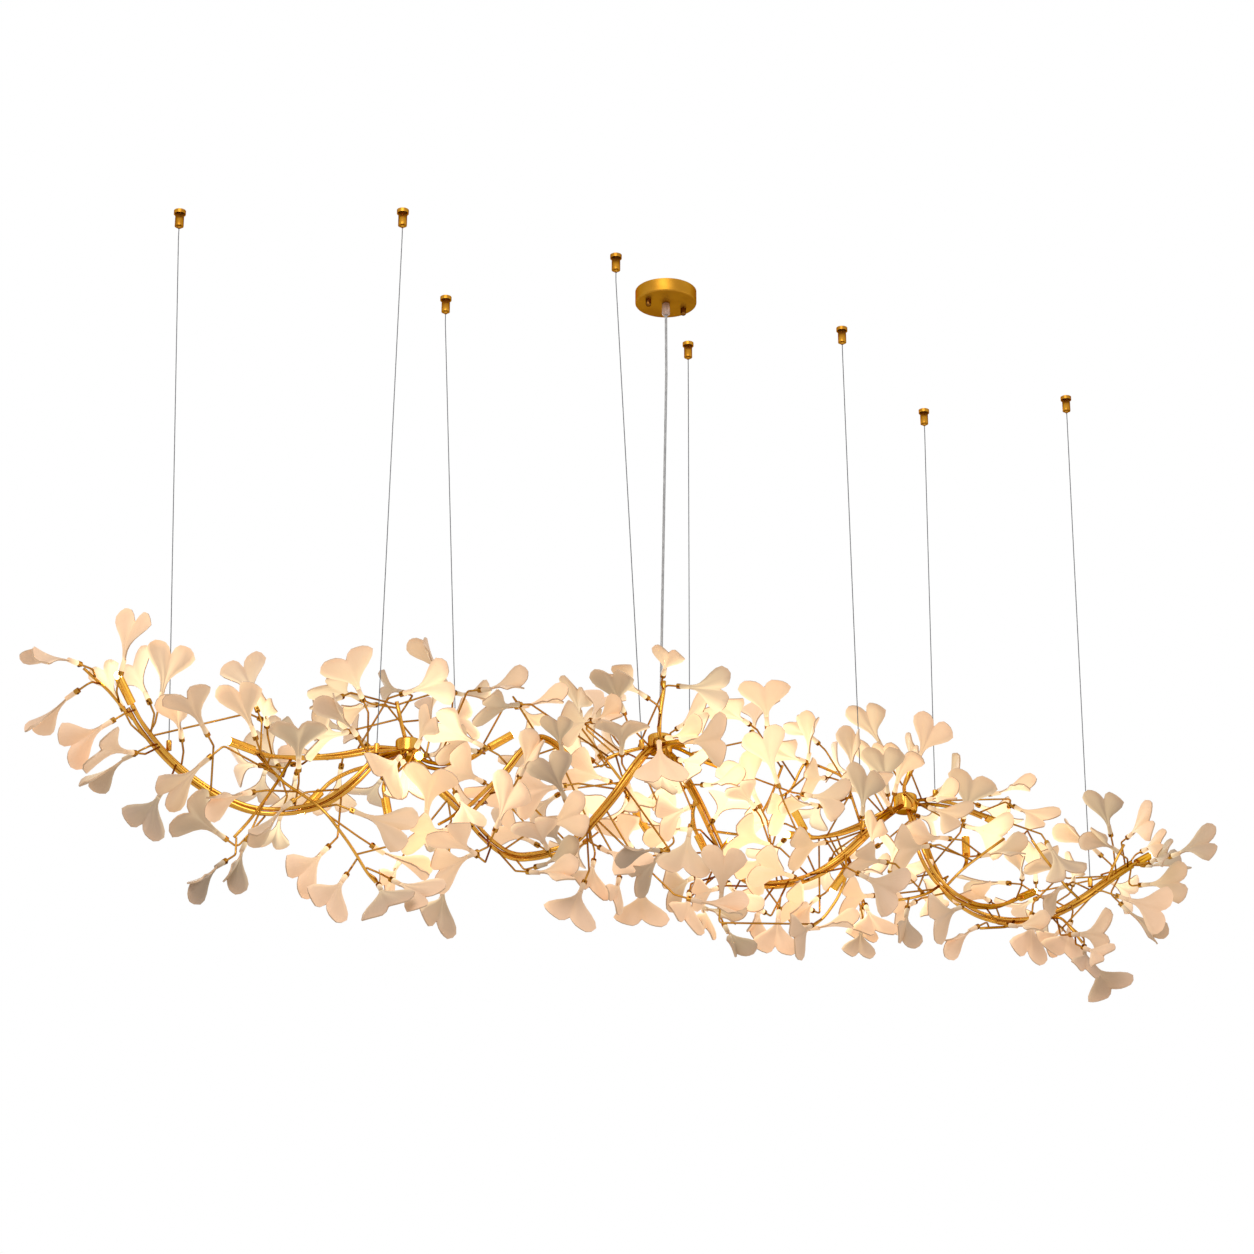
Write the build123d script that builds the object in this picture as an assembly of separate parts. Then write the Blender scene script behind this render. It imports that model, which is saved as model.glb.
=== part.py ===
from build123d import *
import math
import os

import numpy as np

# A long hanging light: brass stems in four hanging curves between three hubs, porcelain
# fan leaves on thin twigs, small capsule lamps, eight steel cables and one round canopy.
# Millimetres. The origin is the middle of the canopy bracket's top face, on the ceiling.
# +Z is up, +X runs along the light, +Y runs away from the viewer.

# Canopy on the ceiling
canopy_diameter = 100.0
canopy_height = 22.0
canopy_wall = 1.6
canopy_edge = 2.5
bracket_length = 84.0
bracket_width = 20.0
bracket_thickness = 2.5
slot_spacing = 40.0
slot_length = 14.0
slot_width = 5.0
stud_spacing = 66.0
stud_diameter = 4.0
stud_below_canopy = 8.0
stud_head = 7.0
stud_head_height = 1.5
nut_diameter = 9.0
nut_height = 12.0
nut_dome_share = 0.4
block_length = 20.0
block_width = 14.0
block_height = 11.0
block_screw_diameter = 3.0

# Power cord and its grip
cord_diameter = 4.2
grip_diameter = 13.0
grip_length = 20.0
grip_thread = 10.0
grip_nut_width = 14.0
grip_nut_height = 3.0
cord_straight_to = 150.0

# Ceiling grippers and cables
cap_diameter = 18.6
cap_height = 6.0
cap_plate = 3.0
cap_screw_hole = 4.5
barrel_diameter = 13.8
barrel_length = 21.0
spigot_diameter = 10.4
barrel_bore = 7.0
nose_diameter = 5.0
nose_flange = 2.0
nose_out = 3.2
nose_hole = 2.2
lock_ball = 2.0
spring_wall = 0.6
cable_diameter = 1.5
cable_straight_to = 46.0
anchor_diameter = 8.0
anchor_height = 15.0
anchor_bore = 2.1
anchor_bore_share = 0.7
cable_share = 0.6
cable_bend = 400.0
knee_share = 0.8

# Stems, hubs and twigs
stem_diameter = 6.0
stem_bore = 4.0
lead_diameter = 3.2
branch_diameter = 4.4
tube_spacing = 8.2
bundle_twist = 100.0
short_end = 9.0
bend_share = 0.45
widest_bend = 5000.0
hub_diameter = 38.0
hub_height = 30.0
hub_edge = 4.0
hub_bite = 1.75
twig_diameter = 3.0
twig_end_run = 22.0
twig_bend = 8.0
straight_twig = 2.0
braze_depth = 0.7

# Leaves
leaf_wall = 2.4
neck_diameter = 8.0
neck_length = 15.0
neck_end = 7.2
neck_step = 0.6
pin_depth = 9.0
collar_diameter = 8.4
collar_length = 7.0
collar_flat = 0.7
screw_diameter = 3.0
screw_head = 1.2
leaf_spread = 1.0

# Lamps
socket_diameter = 13.0
socket_wall = 0.9
socket_length = 42.0
socket_floor = 2.0
holder_length = 15.0
holder_back = 9.0
globe_diameter = 9.6
globe_length = 27.0
globe_wall = 0.9
globe_nose_share = 0.42
stick_diameter = 5.0
stick_length = 17.0
lamp_pin_diameter = 1.0
lamp_pin_spacing = 4.0
lamp_pin_length = 7.0

# Fits
running_gap = 0.05
seat_gap = 0.1
loose_gap = 0.3

# Places on the light are read on an upright plane through its middle, as x and z, and are
# pushed along the line of sight from the eye point to their depth behind the plane.
eye_point = (-2247.0, -3765.0, -2260.0)
middle_y = 65.0

# Each hanging point: x and y on the ceiling, then x, z and depth where the cable ends
hangings = [
    ((-791, 142), (-787, -914, 75)),
    ((-493, -33), (-466, -856, -92)),
    ((-303, 196), (-337, -849, 124)),
    ((-134, -70), (-6, -776, -92)),
    ((128, 142), (73, -806, 71)),
    ((322, -35), (405, -848, -100)),
    ((629, 162), (544, -768, 94)),
    ((814, -7), (866, -878, -67)),
]

# Each hub: x, z and depth
hubs = {
    "hub_left": (-412, -838, 10),
    "hub_middle": (24, -757, -43),
    "hub_right": (490, -780, -10),
}

# Each stem: its node, how many tubes, where it starts, the points that it passes, its end
stem_routes = [
    ("arc_left", 3, "hub_left", [(-466, -862, -92), (-500, -905, -80), (-545, -945, -45), (-600, -966, -5),
                                 (-655, -973, 25), (-710, -960, 50), (-760, -935, 70), (-800, -905, 78),
                                 (-835, -868, 72), (-853, -840, 62)], "lamp"),
    ("spray_left", 2, "hub_left", [(-466, -846, 18), (-520, -866, 40), (-580, -880, 56), (-635, -886, 62),
                                   (-664, -882, 58)], "lamp"),
    ("spray_left", 1, "hub_left", [(-455, -868, 0), (-500, -884, 5), (-536, -908, 10),
                                   (-554, -930, 12)], "lamp"),
    ("spray_left", 1, "hub_left", [(-432, -876, -45), (-452, -898, -58), (-446, -924, -60)], "lamp"),
    ("spray_left", 1, "hub_left", [(-424, -800, -5), (-433, -766, -10)], "tip"),
    ("spray_left", 1, "hub_left", [(-403, -838, -45), (-398, -842, -85)], "lamp"),
    ("spray_middle", 2, "hub_left", [(-385, -856, 55), (-355, -857, 105), (-328, -845, 130),
                                     (-300, -830, 138),
                                     (-274, -810, 130)], "lamp"),
    ("arc_middle", 3, "hub_left", [(-390, -872, -8), (-352, -897, -28), (-315, -925, -35),
                                   (-275, -962, -20),
                                   (-235, -980, 0), (-185, -968, 10), (-135, -945, -10), (-95, -900, -45),
                                   (-55, -850, -75), (-25, -805, -92), (0, -772, -88)], "hub_middle"),
    ("spray_middle", 2, "arc_middle", [(-315, -922, -35), (-280, -885, -62), (-250, -850, -80),
                                       (-222, -808, -88),
                                       (-195, -780, -78), (-168, -784, -60), (-143, -801, -45)], "tip"),
    ("branches", 1, "arc_middle", [(-322, -916, -35), (-340, -934, -70), (-358, -946, -85)], "tip"),
    ("branches", 1, "spray_left", [(-650, -886, 62), (-612, -921, -5), (-580, -935, -60), (-545, -952, -95),
                                        (-500, -1000, -100), (-472, -1038, -92),
                                        (-458, -1050, -90)], "tip"),
    ("branches", 1, "spray_left", [(-595, -882, 58), (-622, -927, 0), (-640, -957, -35), (-662, -990, -48),
                                        (-682, -1015, -48)], "tip"),
    ("branches", 1, "arc_left", [(-836, -866, 71), (-862, -850, 66), (-885, -828, 60), (-905, -815, 55),
                                 (-922, -803, 50)], "tip"),
    ("spray_hub", 1, "hub_middle", [(22, -736, -85), (25, -702, -90), (31, -668, -88),
                                    (32, -650, -86)], "tip"),
    ("spray_hub", 1, "hub_middle", [(-15, -770, -15), (-48, -783, 5), (-72, -796, 15)], "tip"),
    ("spray_hub", 1, "hub_middle", [(-14, -790, 20), (-38, -822, 32), (-36, -852, 32),
                                    (-18, -876, 26)], "lamp"),
    ("spray_hub", 1, "hub_middle", [(38, -752, -90), (52, -750, -112)], "lamp"),
    ("spray_hub", 1, "hub_middle", [(56, -757, 12), (80, -764, 45), (105, -768, 55)], "lamp"),
    ("branches", 1, "spray_hub", [(-38, -836, 33), (-60, -812, 62), (-78, -794, 72)], "tip"),
    ("arc_right", 3, "hub_middle", [(52, -778, 8), (72, -806, 66), (95, -842, 90), (118, -885, 90),
                                    (142, -930, 70),
                                    (180, -958, 35), (225, -957, 0), (275, -943, -40), (325, -918, -70),
                                    (365, -888, -92), (405, -850, -100), (440, -815, -80)], "hub_right"),
    ("spray_right", 2, "hub_right", [(445, -806, 25), (400, -832, 40), (355, -853, 45), (315, -865, 45),
                                     (292, -868, 43)], "lamp"),
    ("spray_right", 1, "spray_right", [(318, -865, 45), (298, -866, 78), (289, -852, 88)], "lamp"),
    ("spray_right", 1, "arc_right", [(372, -884, -92), (378, -898, -62), (368, -912, -48)], "lamp"),
    ("spray_right", 1, "arc_right", [(92, -837, 88), (82, -862, 122), (86, -885, 130),
                                     (93, -897, 130)], "lamp"),
    ("spray_right", 1, "arc_right", [(128, -905, 84), (134, -916, 45), (141, -908, 22)], "lamp"),
    ("branches", 1, "arc_right", [(369, -884, -93), (372, -918, -122), (352, -960, -122), (325, -995, -108),
                                        (303, -1012, -98)], "tip"),
    ("branches", 1, "arc_right", [(116, -880, 90), (172, -882, 120), (205, -850, 105), (228, -812, 85),
                                        (243, -775, 65), (252, -753, 55)], "tip"),
    ("branches", 1, "branches", [(228, -812, 85), (250, -806, 62), (268, -792, 45), (285, -757, 35),
                                             (296, -740, 30)], "tip"),
    ("branches", 1, "spray_right", [(400, -832, 40), (386, -790, 20), (372, -754, 2), (338, -746, -8),
                                          (306, -740, -14)], "tip"),
    ("spray_right", 1, "hub_right", [(488, -748, -40), (502, -720, -48), (511, -708, -48)], "tip"),
    ("spray_end", 2, "hub_right", [(515, -774, 50), (545, -768, 94), (590, -768, 106), (630, -774, 100),
                                   (656, -781, 94)], "lamp"),
    ("spray_end", 2, "hub_right", [(507, -815, -40), (518, -860, -58), (540, -895, -62), (575, -921, -52),
                                   (620, -935, -30), (670, -930, 0), (715, -907, 20)], "lamp"),
    ("arc_end", 3, "hub_right", [(520, -830, 40), (538, -880, 68), (570, -927, 75), (625, -950, 60),
                                 (685, -954, 30),
                                 (745, -942, -10), (800, -918, -45), (850, -889, -66), (900, -853, -65),
                                 (940, -826, -50), (966, -810, -40)], "lamp"),
    ("branches", 1, "spray_end", [(562, -912, -55), (600, -875, -80), (640, -845, -85),
                                  (688, -810, -80)], "tip"),
    ("spray_end", 1, "branches", [(604, -872, -80), (609, -862, -60), (609, -848, -52)], "lamp"),
    ("branches", 1, "spray_end", [(555, -908, -58), (530, -926, -95), (500, -938, -105),
                                  (465, -947, -105)], "tip"),
    ("branches", 1, "arc_end", [(838, -896, -62), (810, -872, -95), (790, -850, -102), (765, -825, -102),
                                      (746, -803, -100)], "tip"),
    ("branches", 1, "arc_end", [(900, -853, -65), (915, -826, -95), (933, -797, -104),
                                (943, -782, -104)], "tip"),
    ("branches", 1, "arc_end", [(772, -931, -28), (800, -930, -85), (820, -946, -105),
                                (842, -968, -110)], "tip"),
    ("branches", 1, "arc_end", [(700, -953, 22), (688, -961, -15), (654, -967, -45),
                                (632, -971, -55)], "tip"),
]

# Leaf kinds: length, half width, depth of the notch, and how far each lobe is folded up
leaf_kinds = {
    "open": (90.0, 37.0, 17.0, 14.0),
    "broad": (84.0, 42.0, 13.0, 7.0),
    "folded": (88.0, 38.0, 15.0, 48.0),
    "small": (70.0, 27.0, 11.0, 14.0),
}

# Each leaf: kind, neck x and z, tip x and z, depth, and the turn of its face from the viewer
leaf_places = [
    # left end
    ("folded", -932, -797, -997, -783, 45, 75), ("folded", -932, -841, -993, -897, 48, 60),
    ("open", -866, -797, -850, -710, 30, 50), ("open", -806, -835, -792, -750, 40, 10),
    ("broad", -823, -833, -850, -782, 110, 30), ("small", -862, -850, -897, -795, 100, 30),
    ("folded", -770, -880, -782, -822, 40, 30), ("open", -733, -866, -768, -815, 10, 190),
    ("open", -877, -875, -940, -925, 0, 20), ("broad", -842, -915, -893, -918, 0, 215),
    ("folded", -842, -918, -906, -963, 60, 60), ("open", -793, -962, -825, -1024, 20, 5),
    ("open", -728, -905, -792, -970, -20, 35), ("broad", -698, -1018, -755, -988, 30, 180),
    ("folded", -660, -945, -728, -965, -60, 40), ("open", -657, -815, -683, -752, 60, 0),
    ("open", -658, -858, -688, -790, -10, 20), ("small", -640, -838, -645, -800, 30, 60),
    ("broad", -587, -895, -590, -833, -50, 180), ("open", -620, -897, -646, -850, 120, 20),
    ("small", -648, -832, -600, -845, 80, 40), ("open", -648, -902, -687, -906, 100, 15),
    ("open", -638, -905, -652, -952, 120, 20), ("broad", -598, -892, -642, -900, 150, 30),
    ("open", -590, -905, -602, -952, 95, 40), ("folded", -597, -950, -660, -1003, -80, 70),
    ("small", -610, -965, -625, -1018, 60, 20), ("folded", -697, -1055, -748, -1095, -60, 55),
    ("folded", -665, -1022, -690, -1083, -30, 45), ("open", -538, -1010, -585, -1064, -80, 25),
    ("open", -507, -1048, -538, -1098, -100, 10), ("broad", -452, -1055, -435, -1086, -110, 0),
    ("folded", -462, -997, -373, -1038, -90, 65), ("open", -430, -1043, -371, -1064, -120, 30),
    ("small", -422, -1015, -445, -1055, -40, 50), ("open", -298, -982, -362, -1020, -100, 25),
    ("open", -348, -1035, -358, -1100, -60, 40),
    # left hub
    ("broad", -490, -770, -520, -712, -70, 0), ("open", -495, -772, -552, -758, -10, 40),
    ("folded", -470, -778, -525, -790, 40, 45), ("folded", -525, -776, -572, -805, 0, 35),
    ("folded", -497, -830, -540, -778, -110, 50), ("open", -515, -826, -565, -814, 90, 20),
    ("open", -512, -828, -560, -850, -60, 215), ("open", -520, -885, -530, -950, 70, 20),
    ("open", -452, -890, -480, -925, 60, 20), ("open", -495, -948, -412, -966, -130, 15),
    ("broad", -425, -852, -455, -890, -110, 10), ("open", -420, -858, -408, -908, -70, 190),
    ("broad", -380, -942, -372, -866, -130, 190), ("open", -340, -952, -405, -966, -90, 35),
    ("open", -421, -751, -348, -716, -60, 0), ("folded", -352, -722, -387, -658, 20, 60),
    ("small", -422, -750, -455, -745, 60, 20), ("open", -362, -782, -308, -772, 60, 15),
    ("open", -288, -812, -366, -786, -90, 30), ("open", -300, -822, -346, -818, 40, 15),
    ("broad", -288, -868, -342, -850, 30, 10), ("open", -380, -842, -345, -833, 120, 10),
    ("open", -290, -902, -322, -905, 60, 15), ("small", -330, -896, -304, -936, -80, 30),
    ("open", -297, -983, -346, -955, -60, 30), ("open", -345, -952, -366, -992, 40, 20),
    ("small", -398, -832, -374, -780, -40, 40), ("folded", -376, -802, -371, -750, 60, 50),
    ("small", -480, -842, -508, -820, 120, 20), ("open", -560, -872, -610, -862, 140, 20),
    # between left and middle hubs
    ("folded", -290, -722, -220, -704, -20, 50), ("folded", -335, -735, -280, -738, 60, 50),
    ("open", -228, -735, -290, -748, -30, 40), ("small", -225, -736, -196, -766, 50, 15),
    ("folded", -226, -738, -150, -719, 20, 55), ("open", -118, -737, -123, -686, 30, 45),
    ("open", -100, -737, -74, -690, 50, 20), ("open", -98, -740, -146, -752, -20, 10),
    ("broad", -85, -792, -120, -745, 40, 10), ("small", -150, -802, -161, -745, -70, 20),
    ("open", -100, -802, -152, -775, 60, 200), ("open", -70, -832, -136, -820, -10, 0),
    ("open", -130, -850, -100, -892, 60, 190), ("open", -145, -872, -176, -815, -110, 10),
    ("broad", -150, -853, -224, -876, -60, 10), ("open", -262, -936, -231, -862, -120, 25),
    ("open", -246, -846, -286, -896, 20, 20), ("open", -195, -952, -256, -930, 70, 15),
    ("open", -175, -956, -200, -914, -60, 20), ("folded", -222, -846, -188, -785, -120, 35),
    ("small", -215, -842, -236, -814, 40, 15), ("open", -185, -926, -114, -890, -100, 20),
    ("small", -150, -946, -181, -914, -50, 10), ("open", -110, -936, -142, -962, 50, 15),
    ("folded", -190, -986, -124, -960, -40, 45), ("folded", -203, -997, -131, -991, -70, 35),
    ("open", -95, -966, -104, -1012, -40, 20), ("broad", -112, -1003, -138, -1064, -80, 0),
    ("open", -80, -942, -20, -962, -90, 40), ("small", -50, -986, -60, -1023, -60, 50),
    ("open", -160, -870, -205, -905, 110, 10), ("open", -215, -900, -270, -905, 120, 20),
    # middle hub
    ("open", -2, -682, -66, -652, -80, 35), ("open", -42, -713, -65, -658, -100, 35),
    ("folded", -95, -738, -48, -716, -60, 35), ("broad", -45, -782, -45, -734, -110, 180),
    ("small", 31, -638, 41, -598, -86, 10), ("open", 63, -653, 142, -644, -100, 0),
    ("open", 187, -693, 138, -670, -20, 35), ("open", 58, -723, 106, -686, -20, 40),
    ("folded", 36, -744, 99, -730, -80, 35), ("broad", 70, -746, 142, -728, -130, 10),
    ("broad", 22, -752, 27, -814, -170, 0), ("small", 30, -800, 24, -832, -110, 5),
    ("open", 60, -776, 102, -780, -40, 20), ("open", 62, -822, 16, -832, -60, 10),
    ("small", 12, -842, -16, -868, 10, 20), ("small", -35, -832, -11, -864, -60, 200),
    ("open", 76, -852, 22, -880, -70, 10), ("folded", 72, -888, 3, -896, -30, 40),
    ("open", -35, -852, -50, -898, 60, 15), ("open", -28, -932, -56, -893, 10, 20),
    ("folded", 20, -930, -44, -933, -60, 50), ("open", 30, -930, -26, -982, -100, 35),
    ("broad", 78, -886, 63, -957, -120, 5), ("open", 132, -1000, 142, -914, -140, 15),
    ("broad", -8, -990, -10, -1046, -60, 0), ("open", 80, -966, 38, -992, -40, 20),
    ("open", 75, -992, 64, -1040, -70, 35), ("small", 125, -976, 86, -992, -70, 15),
    ("folded", 80, -1000, 168, -1010, -100, 40), ("folded", 95, -1008, 160, -1027, -30, 45),
    ("small", 100, -1005, 103, -1046, -50, 55), ("folded", 140, -1035, 164, -1076, -80, 45),
    ("folded", 148, -966, 182, -1004, -30, 50), ("open", 120, -866, 152, -824, 60, 15),
    ("folded", 105, -810, 170, -801, -10, 50), ("open", 0, -880, 35, -905, 90, 15),
    ("open", 10, -810, 55, -835, 70, 15), ("open", -40, -780, -80, -770, 100, 15),
    # between middle and right hubs
    ("broad", 206, -826, 166, -758, -40, 190), ("small", 196, -832, 168, -800, -80, 5),
    ("open", 236, -852, 178, -856, 60, 15), ("broad", 222, -890, 161, -882, -50, 200),
    ("open", 216, -906, 174, -957, -40, 10), ("broad", 224, -690, 219, -622, -40, 0),
    ("open", 242, -786, 212, -707, -80, 190), ("open", 293, -740, 238, -726, -50, 40),
    ("open", 195, -706, 216, -658, 20, 45), ("small", 318, -702, 279, -675, 20, 15),
    ("folded", 300, -740, 320, -663, -30, 50), ("open", 330, -762, 294, -770, 10, 15),
    ("open", 295, -796, 368, -796, -110, 15), ("open", 376, -747, 344, -731, 30, 20),
    ("folded", 385, -752, 395, -672, -40, 35), ("open", 402, -776, 363, -760, -10, 10),
    ("open", 404, -812, 415, -740, -80, 25), ("open", 426, -747, 425, -690, 10, 15),
    ("open", 447, -692, 414, -630, -60, 30), ("open", 276, -806, 228, -842, -50, 35),
    ("folded", 315, -811, 264, -805, -30, 55), ("open", 328, -871, 266, -890, -70, 25),
    ("open", 266, -936, 203, -926, -60, 10), ("open", 300, -986, 253, -976, -10, 10),
    ("folded", 312, -966, 263, -1002, -50, 40), ("open", 210, -1001, 168, -985, -10, 15),
    ("folded", 205, -998, 186, -1038, -40, 50), ("open", 240, -996, 230, -1062, -60, 5),
    ("open", 298, -1013, 262, -1038, -70, 25), ("folded", 298, -1016, 379, -1005, -90, 60),
    ("small", 398, -975, 396, -1020, -40, 10), ("small", 396, -1002, 389, -1044, -80, 5),
    ("open", 406, -966, 424, -1008, -60, 20), ("open", 418, -946, 362, -956, -30, 15),
    ("open", 445, -886, 386, -886, -80, 35), ("folded", 394, -913, 442, -906, -60, 60),
    ("broad", 397, -914, 468, -936, -150, 5), ("open", 430, -862, 384, -892, 60, 15),
    ("small", 420, -869, 431, -818, -50, 40), ("open", 340, -900, 320, -945, 40, 15),
    ("open", 250, -880, 215, -915, 90, 15), ("open", 330, -800, 300, -835, 100, 15),
    # right hub
    ("open", 515, -706, 556, -630, -70, 10), ("small", 505, -706, 513, -674, 0, 50),
    ("open", 455, -766, 448, -698, -60, 15), ("open", 470, -762, 491, -693, -10, 195),
    ("open", 456, -787, 423, -748, -40, 200), ("open", 560, -746, 606, -707, 20, 200),
    ("broad", 607, -786, 630, -714, -60, 5), ("folded", 536, -766, 592, -750, 20, 40),
    ("open", 538, -779, 602, -792, -50, 25), ("broad", 612, -800, 688, -806, -30, 10),
    ("open", 572, -827, 488, -832, -100, 40), ("broad", 532, -846, 468, -862, -90, 20),
    ("small", 456, -896, 466, -848, -60, 200), ("open", 476, -882, 512, -902, 20, 10),
    ("small", 560, -902, 533, -928, 40, 15), ("open", 500, -946, 458, -972, -60, 25),
    ("folded", 486, -960, 475, -1016, -90, 30), ("small", 520, -932, 544, -956, 10, 15),
    ("broad", 592, -941, 533, -972, -70, 15), ("folded", 622, -971, 558, -1005, -60, 50),
    ("open", 650, -921, 612, -905, -40, 35), ("folded", 690, -886, 610, -892, 50, 40),
    ("open", 515, -798, 550, -802, 80, 10), ("open", 640, -760, 690, -772, 130, 15),
    # right end
    ("folded", 668, -735, 746, -714, 30, 70), ("open", 716, -751, 778, -768, 20, 35),
    ("open", 702, -752, 690, -792, 60, 35), ("small", 726, -800, 700, -826, 60, 15),
    ("folded", 640, -846, 727, -826, -80, 45), ("folded", 722, -872, 728, -832, -30, 45),
    ("open", 750, -872, 750, -813, 20, 20), ("open", 800, -852, 757, -830, -30, 10),
    ("open", 780, -806, 818, -852, -80, 195), ("small", 828, -866, 839, -826, -20, 40),
    ("folded", 810, -874, 758, -902, -70, 45), ("open", 746, -906, 693, -930, 40, 40),
    ("open", 792, -922, 744, -947, -20, 15), ("open", 738, -936, 726, -1002, -70, 30),
    ("folded", 692, -958, 762, -956, -60, 45), ("small", 796, -952, 764, -982, -40, 10),
    ("broad", 818, -938, 800, -996, -60, 15), ("broad", 822, -956, 892, -944, -110, 190),
    ("small", 846, -976, 888, -986, -130, 25), ("small", 845, -976, 845, -1014, -90, 30),
    ("broad", 858, -999, 901, -1044, -110, 5), ("open", 915, -765, 903, -702, -100, 25),
    ("open", 955, -765, 1004, -727, -104, 35), ("small", 985, -786, 1024, -765, -20, 45),
    ("folded", 888, -806, 818, -761, -60, 50), ("folded", 928, -796, 870, -768, -90, 35),
    ("open", 1048, -786, 1138, -746, -40, 40), ("small", 1002, -803, 1042, -781, -60, 45),
    ("open", 978, -848, 1066, -830, -60, 10), ("folded", 985, -812, 1060, -806, 0, 50),
    ("broad", 926, -876, 1028, -890, -70, 5), ("folded", 932, -891, 1002, -940, -40, 40),
    ("open", 905, -850, 950, -870, 10, 20),
]
# Half of a leaf's edge, as shares of its fan's length and of its half width
lobe_edge = [(0.16, 0.10), (0.32, 0.205), (0.48, 0.47), (0.64, 0.85), (0.80, 1.0), (0.95, 0.84),
             (1.0, 0.52),
             (0.975, 0.24)]

# A leaf behind this depth leans away from the viewer, and one before it leans forward
leaning_back_from = 45.0

# Where the twigs change from one section of the light to the next
section_ends = [("left", -350.0), ("middle", 60.0), ("right", 480.0), ("end", 1e6)]

# How leaves are moved and turned until they are clear, and how their twigs are chosen
depth_tries = [0, -12, 12, -24, 24, -38, 38, -54, 54, -72, 72, -92, 92, -115, 115]
turn_tries = [0, 25, -25]
feet_tried = 40
foot_step = 8.0
leaning_foot = 0.85
steepest_foot = 0.5
steepest_stem = 0.3
easy_turn = 25.0
turn_cost = 1.6
sharpest_turn = 105.0
shortest_twig = 14.0
never = 400.0

# Room kept free around each piece, and the spacing of the points that stand for it
stem_room = 1.2
hub_room = 1.5
cable_room = 2.4
anchor_room = 1.0
lamp_room = 1.4
lamp_front_room = 6.0
twig_room = 0.9
blade_room = 3.7
neck_room = 5.2
own_blade_room = 6.0
foot_reach = 26.0
clear_reach = 26.0
stem_step = 5.0
twig_step = 4.0
leaf_step = 6.0


def unit(vector):
    """A vector of length one."""
    return np.asarray(vector, float) / np.linalg.norm(vector)


def place(x, z, depth):
    """A reading on the middle plane, pushed along the line of sight to its depth."""
    eye = np.array(eye_point)
    reading = np.array([x, middle_y, z], float)
    return eye + (reading - eye) * (1 + depth / (middle_y - eye[1]))


def corner_radii(points, widest):
    """The largest radius that each corner's two runs leave room for, up to the widest."""
    radii = []
    for before, corner, after in zip(points, points[1:], points[2:]):
        into = Vector(*(corner - before))
        out = Vector(*(after - corner))
        half_turn = math.radians(into.get_angle(out) / 2)
        radii.append(min(bend_share * min(into.length, out.length) / math.tan(half_turn), widest))
    return radii


def smooth_path(points, widest=widest_bend):
    """Straight runs joined by tangent arcs."""
    if len(points) == 2:
        return Wire([Edge.make_line(Vector(*points[0]), Vector(*points[1]))])
    corners = [Vector(*point) for point in points]
    return FilletPolyline(*corners, radius=corner_radii(points, widest)).wire()


def tube_along(path, outer, inner=0.0):
    """A round tube or rod swept along a path."""
    start = Plane(origin=path @ 0, z_dir=path % 0)
    section = Circle(outer / 2)
    if inner:
        section = section - Circle(inner / 2)
    return sweep(start * section, path=path)


def points_along(path, step):
    """Evenly spaced points on a path, as rows."""
    count = max(3, int(path.length / step) + 1)
    return np.array([tuple(path @ (i / (count - 1))) for i in range(count)])


def turned_to(origin, along, face):
    """A location whose X runs along a direction and whose Z is close to another."""
    return Plane(origin=Vector(*origin), x_dir=Vector(*along), z_dir=Vector(*face)).location


def seat_lift(tube_size, own_size, away, tube_along):
    """How far from a tube's middle a piece starts, so that its end just bites the wall."""
    slope = abs(np.dot(away, tube_along))
    square = max(math.sqrt(1 - slope * slope), steepest_foot)
    return (tube_size / 2 - braze_depth + slope * own_size / 2) / square


def rod(diameter, low, high):
    """An upright cylinder between two heights."""
    return Pos(0, 0, (low + high) / 2) * Cylinder(diameter / 2, high - low)


# Ceiling pieces


def canopy_bracket():
    """A steel strip with two slots for the ceiling screws and two holes for the studs."""
    strip = Box(bracket_length, bracket_width, bracket_thickness)
    for side in (-1, 1):
        slot = extrude(SlotOverall(slot_length, slot_width), bracket_thickness, both=True)
        strip = strip - Pos(side * slot_spacing / 2, 0, 0) * slot
        hole = Cylinder(stud_diameter / 2 + running_gap, 2 * bracket_thickness)
        strip = strip - Pos(side * stud_spacing / 2, 0, 0) * hole
    return Pos(0, 0, -bracket_thickness / 2) * strip


def canopy_studs():
    """Two threaded studs that hang from the bracket through the canopy."""
    stud = rod(stud_diameter, -canopy_height - stud_below_canopy, 0)
    head = rod(stud_head, -bracket_thickness - stud_head_height, -bracket_thickness)
    return [Pos(side * stud_spacing / 2, 0, 0) * (stud + head) for side in (-1, 1)]


def terminal_block():
    """The connector block under the bracket, with a screw hole for each wire."""
    top = -bracket_thickness
    block = Pos(0, 0, top - block_height / 2) * Box(block_length, block_width, block_height)
    holes = []
    for x in (-block_length / 4, block_length / 4):
        holes.append(Pos(x, block_width / 2, top - block_height / 2) * Rot(90, 0, 0)
                     * Cylinder(block_screw_diameter / 2 + seat_gap, block_width / 2))
    return block - holes


def terminal_screws():
    """One clamping screw in each hole of the connector block."""
    depth = -bracket_thickness - block_height / 2
    length = block_width / 4
    screw = Rot(90, 0, 0) * Cylinder(block_screw_diameter / 2, length)
    inner_end = block_width / 4
    return [Pos(x, inner_end + length / 2, depth) * screw for x in (-block_length / 4, block_length / 4)]


def canopy_cover():
    """A spun brass cup over the bracket, with holes for the studs and the cord grip."""
    cup = rod(canopy_diameter, -canopy_height, 0)
    cup = fillet(cup.edges().group_by(Axis.Z)[0], canopy_edge)
    cup = cup - rod(canopy_diameter - 2 * canopy_wall, -canopy_height + canopy_wall, 0)
    holes = [rod(grip_thread + 2 * seat_gap, -canopy_height, 0)]
    for side in (-1, 1):
        hole = rod(stud_diameter + 2 * loose_gap, -canopy_height, 0)
        holes.append(Pos(side * stud_spacing / 2, 0, 0) * hole)
    return cup - holes


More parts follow.
